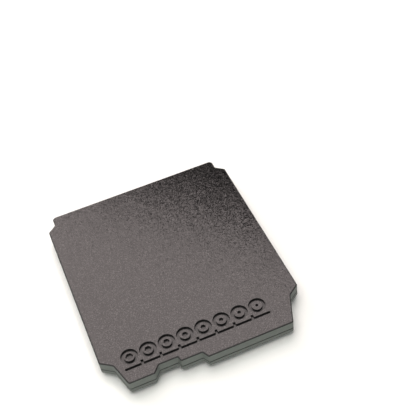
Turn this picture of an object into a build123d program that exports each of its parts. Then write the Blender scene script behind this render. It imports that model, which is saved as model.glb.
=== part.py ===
"""Rear body cap for a 6x7 medium-format reflex camera.

Two printed plates lie one on the other and trap the flanges of four locking studs, which plug into
the catch holes of the camera's rear frame. The outer plate has a bevelled face with an engraved row
of iris openings over a ticked rule. The inner plate has the seating face and a low locating rim.

Frame: +Z leaves the outer face, +Y points to the straight back edge and +X runs to the right along
the notched front edge. The origin is the middle of the cap's box, at the height of the stud tips.
"""

import os

from build123d import *

os.makedirs("parts", exist_ok=True)

# Plates
plate_width = 102.0
plate_depth = 118.0
cover_thickness = 5.0
seat_thickness = 3.0
face_bevel = 0.5
joint_bevel = 0.3
seat_bevel = 0.5
corner_radius = 1.2
inner_corner_radius = 2.2
notch_corner_radius = 0.6

# Back corners, each a diagonal step and a small bevel, measured from the box's edges
back_step_inset = 4.35
back_step_start = 9.3
back_step_end = 5.6
back_corner_bevel = 1.25

# Front corners, each a diagonal step and a long taper, measured from the box's edges
front_step_inset = 5.7
front_step_start = 18.8
front_step_end = 14.75
left_toe_inset = 9.25
left_toe_setback = 2.6
right_toe_inset = 11.35

# Notch in the front edge: a deep pocket and a middle ledge, with slanted ends
notch_left_mouth = -29.05
notch_left_floor = -25.85
notch_depth = 6.15
ledge_left_foot = -16.5
ledge_left_top = -15.8
ledge_setback = 3.45
ledge_right_top = -5.25
notch_right_mouth = -3.5

# Locking studs
stud_spacing_x = 88.0
stud_spacing_y = 49.0
stud_reach = 2.6
stud_radius = 2.5
stud_tip_bevel = 0.4
waist_radius = 2.0
waist_start = 0.8
waist_end = 1.6
flange_radius = 4.0
flange_thickness = 1.2

# Locating rim under the inner plate
rim_width = 78.0
rim_depth = 96.0
rim_wall = 2.0
rim_height = 1.4
rim_corner_radius = 6.0
rim_bevel = 0.3

# Engraving: a row of irises, each closed a little further, above a ruled line with ticks
engraving_depth = 1.1
stroke = 1.6
iris_count = 8
iris_pitch = 9.3
iris_radius = 4.2
widest_opening = 1.9
opening_step = 0.15
row_middle_x = -4.3
iris_y = -42.7
rule_y = -49.0
rule_width = 1.3
tick_height = 2.2

# Heights of the joints between the pieces
seat_z = stud_reach
joint_z = seat_z + seat_thickness
top_z = joint_z + cover_thickness

half_width = plate_width / 2
half_depth = plate_depth / 2


# Outline shared by both plates, clockwise from the left end of the back edge
with BuildSketch() as outline:
    step_x = half_width - back_step_inset
    shoulder_x = half_width - front_step_inset
    shoulder_y = front_step_end - half_depth
    toe_y = left_toe_setback - half_depth
    with BuildLine():
        Polyline(
            (back_corner_bevel - step_x, half_depth),
            (step_x - back_corner_bevel, half_depth),
            (step_x, half_depth - back_corner_bevel),
            (step_x, half_depth - back_step_end),
            (half_width, half_depth - back_step_start),
            (half_width, front_step_start - half_depth),
            (shoulder_x, shoulder_y),
            (half_width - right_toe_inset, -half_depth),
            (notch_right_mouth, -half_depth),
            (ledge_right_top, ledge_setback - half_depth),
            (ledge_left_top, ledge_setback - half_depth),
            (ledge_left_foot, notch_depth - half_depth),
            (notch_left_floor, notch_depth - half_depth),
            (notch_left_mouth, toe_y),
            (left_toe_inset - half_width, toe_y),
            (-shoulder_x, shoulder_y),
            (-half_width, front_step_start - half_depth),
            (-half_width, half_depth - back_step_start),
            (-step_x, half_depth - back_step_end),
            (-step_x, half_depth - back_corner_bevel),
            close=True,
        )
    make_face()
    fillet(outline.vertices().filter_by(lambda corner: abs(corner.Y - shoulder_y) < 0.1), inner_corner_radius)
    notch_corners = outline.vertices().filter_by(
        lambda corner: corner.Y < shoulder_y - inner_corner_radius
        and notch_left_mouth - 0.1 < corner.X < notch_right_mouth + 0.1
    )
    fillet(notch_corners, notch_corner_radius)
    outer_corners = outline.vertices().filter_by(
        lambda corner: abs(corner.Y - shoulder_y) > inner_corner_radius
        and not notch_left_mouth - 1 < corner.X < notch_right_mouth + 1
    )
    fillet(outer_corners, corner_radius)


# Outer plate: bevelled outer face, small bevel at the joint, engraved iris row and rule
with BuildPart() as cover_plate:
    with BuildSketch(Plane.XY.offset(joint_z)):
        add(outline.sketch)
    extrude(amount=cover_thickness)
    chamfer(cover_plate.faces().sort_by(Axis.Z)[-1].edges(), face_bevel)
    chamfer(cover_plate.faces().sort_by(Axis.Z)[0].edges(), joint_bevel)
    row_length = (iris_count - 1) * iris_pitch
    with BuildSketch(Plane.XY.offset(top_z)):
        for index in range(iris_count):
            iris_x = row_middle_x - row_length / 2 + index * iris_pitch
            with Locations((iris_x, iris_y)):
                Circle(iris_radius)
                Circle(iris_radius - stroke, mode=Mode.SUBTRACT)
                RegularPolygon(widest_opening - index * opening_step, 6)
        with Locations((row_middle_x, rule_y)):
            SlotOverall(row_length + 2 * iris_radius, rule_width)
        with Locations((row_middle_x, rule_y + tick_height / 2)):
            with GridLocations(iris_pitch, 1, iris_count - 1, 1):
                Rectangle(rule_width, tick_height)
    extrude(amount=-engraving_depth, mode=Mode.SUBTRACT)
cover_plate.part.label = "cover_plate"
export_step(cover_plate.part, "parts/cover_plate.step")


# Inner plate: seating face, locating rim, and stepped holes for the studs
with BuildPart() as seating_plate:
    with BuildSketch(Plane.XY.offset(seat_z)):
        add(outline.sketch)
    extrude(amount=seat_thickness)
    chamfer(seating_plate.faces().sort_by(Axis.Z)[-1].edges(), joint_bevel)
    chamfer(seating_plate.faces().sort_by(Axis.Z)[0].edges(), seat_bevel)
    with BuildSketch(Plane.XY.offset(seat_z - rim_height)):
        RectangleRounded(rim_width, rim_depth, rim_corner_radius)
        offset(amount=-rim_wall, kind=Kind.ARC, mode=Mode.SUBTRACT)
    extrude(amount=rim_height)
    chamfer(seating_plate.faces().sort_by(Axis.Z)[0].edges(), rim_bevel)
    with Locations(Plane.XY.offset(joint_z)):
        with GridLocations(stud_spacing_x, stud_spacing_y, 2, 2):
            CounterBoreHole(stud_radius, flange_radius, flange_thickness)
seating_plate.part.label = "seating_plate"
export_step(seating_plate.part, "parts/seating_plate.step")


# Locking studs: a waisted pin under a flange that fills the stepped hole
stud_places = {
    "lock_stud_front_left": (-stud_spacing_x / 2, -stud_spacing_y / 2),
    "lock_stud_front_right": (stud_spacing_x / 2, -stud_spacing_y / 2),
    "lock_stud_back_left": (-stud_spacing_x / 2, stud_spacing_y / 2),
    "lock_stud_back_right": (stud_spacing_x / 2, stud_spacing_y / 2),
}
for stud_name, (stud_x, stud_y) in stud_places.items():
    with BuildPart() as lock_stud:
        with BuildSketch(Plane((stud_x, stud_y, 0), x_dir=(1, 0, 0), z_dir=(0, -1, 0))):
            with BuildLine():
                Polyline(
                    (0, 0),
                    (stud_radius - stud_tip_bevel, 0),
                    (stud_radius, stud_tip_bevel),
                    (stud_radius, waist_start),
                    (waist_radius, waist_start),
                    (waist_radius, waist_end),
                    (stud_radius, waist_end),
                    (stud_radius, joint_z - flange_thickness),
                    (flange_radius, joint_z - flange_thickness),
                    (flange_radius, joint_z),
                    (0, joint_z),
                    close=True,
                )
            make_face()
        revolve(axis=Axis((stud_x, stud_y, 0), (0, 0, 1)))
    lock_stud.part.label = stud_name
    export_step(lock_stud.part, f"parts/{stud_name}.step")
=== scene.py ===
"""Looks of the rear body cap: a printed two-layer plate on a pale studio floor.

Every shape of the cap is the CAD model's own. Lengths are metres in the row frame.
"""

import math

import bpy
from mathutils import Matrix, Vector


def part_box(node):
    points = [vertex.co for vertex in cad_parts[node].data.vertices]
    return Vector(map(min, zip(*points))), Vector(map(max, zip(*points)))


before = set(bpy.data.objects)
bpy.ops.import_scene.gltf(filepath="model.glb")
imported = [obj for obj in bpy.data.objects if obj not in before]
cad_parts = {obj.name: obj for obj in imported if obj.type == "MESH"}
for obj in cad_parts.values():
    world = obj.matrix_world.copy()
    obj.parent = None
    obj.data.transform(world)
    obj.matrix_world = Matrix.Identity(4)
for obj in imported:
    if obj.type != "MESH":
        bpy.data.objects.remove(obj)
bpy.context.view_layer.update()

MM = 0.001
scene = bpy.context.scene
face_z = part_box("cover_plate")[1].z


class Nodes:
    """A node tree, with short calls that add a node and join it to others."""

    def __init__(self, tree):
        self.tree = tree

    def add(self, kind, inputs=None, **settings):
        """A new node. Each input is a number, a vector, a colour or another node's output."""
        made = self.tree.nodes.new(kind)
        for name, value in settings.items():
            setattr(made, name, value)
        for key, value in (inputs or {}).items():
            self.feed(made.inputs[key], value)
        return made

    def feed(self, socket, value):
        if isinstance(value, bpy.types.NodeSocket):
            self.tree.links.new(value, socket)
        else:
            socket.default_value = value

    def math(self, operation, *values):
        return self.add("ShaderNodeMath", dict(enumerate(values)), operation=operation).outputs[0]

    def vector_math(self, operation, *values):
        made = self.add("ShaderNodeVectorMath", dict(enumerate(values)), operation=operation)
        return made.outputs["Vector"]

    def scale(self, vector, by):
        inputs = {0: vector, "Scale": by}
        return self.add("ShaderNodeVectorMath", inputs, operation="SCALE").outputs["Vector"]

    def length(self, vector):
        return self.add("ShaderNodeVectorMath", {0: vector}, operation="LENGTH").outputs["Value"]

    def axes(self, vector):
        return self.add("ShaderNodeSeparateXYZ", {0: vector}).outputs

    def mix(self, share, low, high):
        made = self.add("ShaderNodeMix", data_type="FLOAT")
        for key, value in zip(("Factor", "A", "B"), (share, low, high)):
            self.feed(made.inputs[key], value)
        return made.outputs[0]

    def mix_colour(self, share, low, high):
        """Between two colours, which the mix node takes at sockets 6 and 7 and gives at output 2."""
        inputs = {0: share, 6: low, 7: high}
        return self.add("ShaderNodeMix", inputs, data_type="RGBA").outputs[2]

    def range(self, value, from_low, from_high, to_low=0.0, to_high=1.0):
        """A value carried smoothly from one span to another, and held at the span's ends."""
        inputs = {0: value, 1: from_low, 2: from_high, 3: to_low, 4: to_high}
        return self.add("ShaderNodeMapRange", inputs, interpolation_type="SMOOTHSTEP").outputs[0]

    def noise(self, vector, scale, detail=2.0):
        inputs = {"Vector": vector, "Scale": scale, "Detail": detail, "Roughness": 0.6}
        return self.add("ShaderNodeTexNoise", inputs).outputs["Fac"]

    def cells(self, vector, scale, smoothness):
        """How far a point is from the middle of its cell, with the cells' borders rounded."""
        inputs = {"Vector": vector, "Scale": scale, "Smoothness": smoothness}
        return self.add("ShaderNodeTexVoronoi", inputs, feature="SMOOTH_F1").outputs["Distance"]

    def random_cells(self, vector, scale):
        """A vector of three random values from 0 to 1, the same all over a cell."""
        return self.add("ShaderNodeTexVoronoi", {"Vector": vector, "Scale": scale}).outputs["Color"]

    def tilt(self, normal, towards, amount):
        """The normal, turned a little by a vector of random values."""
        shift = self.vector_math("SUBTRACT", towards, (0.5, 0.5, 0.5))
        turned = self.vector_math("ADD", self.scale(shift, amount), normal)
        return self.vector_math("NORMALIZE", turned)


# Print: layer height and track pitch, and the noise that makes them uneven, in waves to the metre
LAYER = 0.2 * MM
TRACK = 0.42 * MM
LAYER_NOISE_SCALE = 90
TRACK_NOISE_SCALE = 1500
RELIEF_DEPTH = 0.03 * MM
RELIEF_STRENGTH = 0.5

# Pebble grain of the outer face, in cells to the metre, and how far its facets lean
PEBBLE_SCALE = 1700
GRIT_SCALE = 2200
FACET_SCALE = 2400
FACET_LEAN = 0.08

# Roughness, from 0 for a mirror to 1 for chalk
FACET_ROUGHNESS = (0.02, 0.16)
TRACK_ROUGHNESS = 0.27
WALL_ROUGHNESS = (0.58, 0.70)
PLASTIC_IOR = 1.5

# Tone: a few facets are much lighter than the rest, as painted glints of the grain, and wide blotches
# are a little lighter or darker
GLINT_SPECK_POWER = 3.0
GLINT_SPECK_GAIN = 7.2
BLOTCH_SCALE = 160
BLOTCH_DEPTH = 0.06

# Box round the engraved row: its middle, its reach to each side and its soft border
ENGRAVED_ROW = (-4.3 * MM, -44.5 * MM)
ENGRAVED_REACH = (38 * MM, 7.5 * MM)
ENGRAVED_BORDER = 0.2 * MM


def near_engraving(nodes, axes):
    """1 inside the box round the engraved row, whose walls stay as dark as the face and get none of the
    painted floor light that lightens the outer walls.
    """
    inside = 1.0
    for axis, (middle, reach) in enumerate(zip(ENGRAVED_ROW, ENGRAVED_REACH)):
        away = nodes.math("ABSOLUTE", nodes.math("SUBTRACT", axes[axis], middle))
        within = nodes.range(away, reach - ENGRAVED_BORDER, reach, 1.0, 0.0)
        inside = nodes.math("MULTIPLY", inside, within)
    return inside


def pebble_grain(nodes, place):
    """Height of the grain: equal parts of rounded pebbles and finer grit."""
    pebbles = nodes.range(nodes.cells(place, PEBBLE_SCALE, smoothness=0.25), 0.1, 0.7, 1.0, 0.0)
    return nodes.mix(0.5, pebbles, nodes.noise(place, GRIT_SCALE))


def print_tracks(nodes, place, axes):
    """Height of the slanted tracks that the nozzle leaves on a level face, made a bit uneven."""
    across = nodes.math("MULTIPLY", nodes.math("ADD", axes[0], axes[1]), math.pi * math.sqrt(2) / TRACK)
    wave = nodes.range(nodes.math("SINE", across), -1, 1)
    return nodes.mix(0.35, wave, nodes.noise(place, TRACK_NOISE_SCALE))


def printed_plastic(name, face_colour, painted_lit_wall_colour, face_grain):
    """Black printed plastic. Walls have stacked layers and the given wall colour, which is painted
    light from the pale floor where it is lighter than face_colour; level faces have face_colour and
    print tracks, and with face_grain the outer face has pebble grain instead."""
    material = bpy.data.materials.new(name)
    material.use_nodes = True
    surface = material.node_tree.nodes["Principled BSDF"]
    nodes = Nodes(material.node_tree)
    place = nodes.add("ShaderNodeTexCoord").outputs["Object"]
    axes = nodes.axes(place)
    normal = nodes.add("ShaderNodeNewGeometry").outputs["Normal"]

    # Which part of the surface a point is on, each from 0 to 1
    lean = nodes.math("ABSOLUTE", nodes.axes(normal)[2])
    level = nodes.range(lean, 0.85, 0.97)
    upright = nodes.range(lean, 0.2, 0.4, 1.0, 0.0)
    engraved = near_engraving(nodes, axes) if face_grain else 0.0
    walls_with_painted_light = nodes.math("MULTIPLY", upright, nodes.math("SUBTRACT", 1.0, engraved))
    at_face_height = nodes.range(axes[2], face_z - 0.4 * MM, face_z - 0.2 * MM)
    grained = nodes.math("MULTIPLY", level, at_face_height) if face_grain else 0.0

    # Relief
    layer_wave = nodes.math("SINE", nodes.math("MULTIPLY", axes[2], 2 * math.pi / LAYER))
    stretch = (LAYER_NOISE_SCALE, LAYER_NOISE_SCALE, 1 / LAYER)
    layer_drift = nodes.noise(nodes.vector_math("MULTIPLY", place, stretch), 1.0)
    layers = nodes.mix(0.6, nodes.range(layer_wave, -1, 1), layer_drift)
    level_relief = nodes.mix(grained, print_tracks(nodes, place, axes), pebble_grain(nodes, place))
    relief = nodes.mix(level, layers, level_relief)
    facet_values = nodes.random_cells(place, FACET_SCALE)
    facet_normal = nodes.tilt(normal, facet_values, nodes.math("MULTIPLY", grained, FACET_LEAN))
    bump_inputs = {
        "Strength": RELIEF_STRENGTH,
        "Distance": RELIEF_DEPTH,
        "Height": relief,
        "Normal": facet_normal,
    }
    bump = nodes.add("ShaderNodeBump", bump_inputs)

    # Tone and gloss, where each facet has its own
    facet = nodes.axes(facet_values)
    blotch_noise = nodes.noise(place, BLOTCH_SCALE, detail=3.0)
    blotches = nodes.range(blotch_noise, 0.3, 0.7, -BLOTCH_DEPTH, BLOTCH_DEPTH)
    # Painted glints: a few facets of the outer face are made several times lighter in colour
    painted_glints = nodes.math("MULTIPLY", nodes.math("POWER", facet[2], GLINT_SPECK_POWER), GLINT_SPECK_GAIN)
    tint = nodes.math("ADD", blotches, nodes.mix(grained, 1.0, painted_glints))
    # Painted light: outer walls take the wall colour, which for the plates is a lighter, greener copy
    # of the face's black plastic standing for the pale floor's light on them
    base = nodes.mix_colour(walls_with_painted_light, face_colour, painted_lit_wall_colour)
    level_rough = nodes.mix(grained, TRACK_ROUGHNESS, nodes.mix(facet[1], *FACET_ROUGHNESS))
    rough = nodes.mix(level, nodes.mix(layer_drift, *WALL_ROUGHNESS), level_rough)
    nodes.feed(surface.inputs["Base Color"], nodes.scale(base, tint))
    nodes.feed(surface.inputs["Roughness"], rough)
    nodes.feed(surface.inputs["Normal"], bump.outputs[0])
    surface.inputs["IOR"].default_value = PLASTIC_IOR
    return material


face_colour = (0.0090, 0.0082, 0.0084, 1)
# Painted light: the walls' colour is the face's black plastic made about ten times lighter and a little
# greener, for the pale floor's light on them
painted_lit_wall_colour = (0.083, 0.0935, 0.084, 1)
cover_plastic = printed_plastic("cover_plastic", face_colour, painted_lit_wall_colour, face_grain=True)
seat_plastic = printed_plastic("seating_plastic", face_colour, painted_lit_wall_colour, face_grain=False)
stud_plastic = printed_plastic("stud_plastic", face_colour, face_colour, face_grain=False)


def dress(node, material):
    """Gives one CAD node its material."""
    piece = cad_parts[node]
    piece.data.materials.clear()
    piece.data.materials.append(material)


dress("cover_plate", cover_plastic)
dress("seating_plate", seat_plastic)
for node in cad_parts:
    if node.startswith("lock_stud"):
        dress(node, stud_plastic)


def make_floor():
    """A wide pale sheet under the cap, which glows softly far away so that it has no dark edge."""
    half_width = 12.0
    glow_start = 0.25
    glow_full = 1.0
    mesh = bpy.data.meshes.new("floor")
    corners = [
        (-half_width, -half_width, 0),
        (half_width, -half_width, 0),
        (half_width, half_width, 0),
        (-half_width, half_width, 0),
    ]
    mesh.from_pydata(corners, [], [(0, 1, 2, 3)])
    floor = bpy.data.objects.new("floor", mesh)
    scene.collection.objects.link(floor)
    material = bpy.data.materials.new("floor_paper")
    material.use_nodes = True
    surface = material.node_tree.nodes["Principled BSDF"]
    surface.inputs["Base Color"].default_value = (0.89, 0.89, 0.88, 1)
    surface.inputs["Roughness"].default_value = 0.6
    surface.inputs["Emission Color"].default_value = (0.70, 0.72, 0.69, 1)
    nodes = Nodes(material.node_tree)
    away = nodes.length(nodes.add("ShaderNodeTexCoord").outputs["Object"])
    nodes.feed(surface.inputs["Emission Strength"], nodes.range(away, glow_start, glow_full))
    mesh.materials.append(material)


make_floor()


def add_softbox(name, place, size, power, colour, turn=0.0, tip=0.0):
    """A rectangular light that shines straight down, then is tipped up and turned, in degrees.
    Its power is in watts."""
    light = bpy.data.lights.new(name, "AREA")
    light.shape = "RECTANGLE"
    light.size, light.size_y = size
    light.energy = power
    light.color = colour
    lamp = bpy.data.objects.new(name, light)
    lamp.location = place
    lamp.rotation_euler = (math.radians(tip), 0, math.radians(turn))
    scene.collection.objects.link(lamp)


def add_overhead_softbox():
    """The long light whose mirror image brightens the outer face. Its far edge lies over the
    back right, at far_edge from the cap's middle, so that the face is dark in that corner."""
    far_edge = 0.59
    depth = 0.47
    length = 0.9
    height = 0.71
    shift = 0.25
    reach = (far_edge - depth / 2) / math.sqrt(2)
    place = (reach - shift, reach + shift, height)
    add_softbox("overhead_softbox", place, (depth, length), 4.4, (1.0, 0.88, 0.86), turn=45)


add_overhead_softbox()
add_softbox("front_panel", (-0.1, -0.1, 0.9), (0.8, 0.8), 6.8, (1.0, 1.0, 0.95))
add_softbox("back_panel", (-0.3, 0.55, 0.38), (0.3, 0.3), 1.0, (1.0, 0.97, 0.93), turn=209, tip=59)
add_softbox("left_panel", (-0.5, -0.15, 0.2), (0.3, 0.2), 0.3, (0.92, 1.0, 0.93), turn=-73, tip=68)
add_softbox("low_front_panel", (-0.2, -0.7, 0.12), (0.5, 0.2), 1.7, (0.97, 1.0, 0.93), turn=-16, tip=82)


def set_world():
    """Pale horizon all round, with a sky above it that is dim in front and darker still behind."""
    front_sky = 0.14
    back_sky = 0.06
    horizon_colour = (0.84, 0.83, 0.82, 1)
    world = bpy.data.worlds.new("studio")
    scene.world = world
    world.use_nodes = True
    nodes = Nodes(world.node_tree)
    axes = nodes.axes(nodes.add("ShaderNodeTexCoord").outputs["Generated"])
    sky = nodes.range(axes[1], -0.6, 0.2, front_sky, back_sky)
    horizon = nodes.range(axes[2], 0.08, 0.6, 1.0, 0.0)
    colour = nodes.mix_colour(horizon, sky, horizon_colour)
    nodes.feed(world.node_tree.nodes["Background"].inputs[0], colour)


set_world()
scene.view_settings.view_transform = "Standard"


def add_camera():
    """The camera's place, aim and roll, solved from the plate's straight edges. Its place is
    measured from the middle of the outer face, and lens and sensor are in millimetres."""
    place = Vector((-54.4, -267.1, 330.3)) * MM + Vector((0, 0, face_z))
    azimuth = math.radians(16.30)
    elevation = math.radians(-47.20)
    roll = math.radians(-8.35)
    aim = Vector(
        (
            math.sin(azimuth) * math.cos(elevation),
            math.cos(azimuth) * math.cos(elevation),
            math.sin(elevation),
        )
    )
    data = bpy.data.cameras.new("camera")
    data.lens = 73.2
    data.sensor_width = 36
    data.clip_start = 0.01
    camera = bpy.data.objects.new("camera", data)
    camera.matrix_world = (
        Matrix.Translation(place)
        @ aim.to_track_quat("-Z", "Y").to_matrix().to_4x4()
        @ Matrix.Rotation(roll, 4, "Z")
    )
    scene.collection.objects.link(camera)
    scene.camera = camera


add_camera()
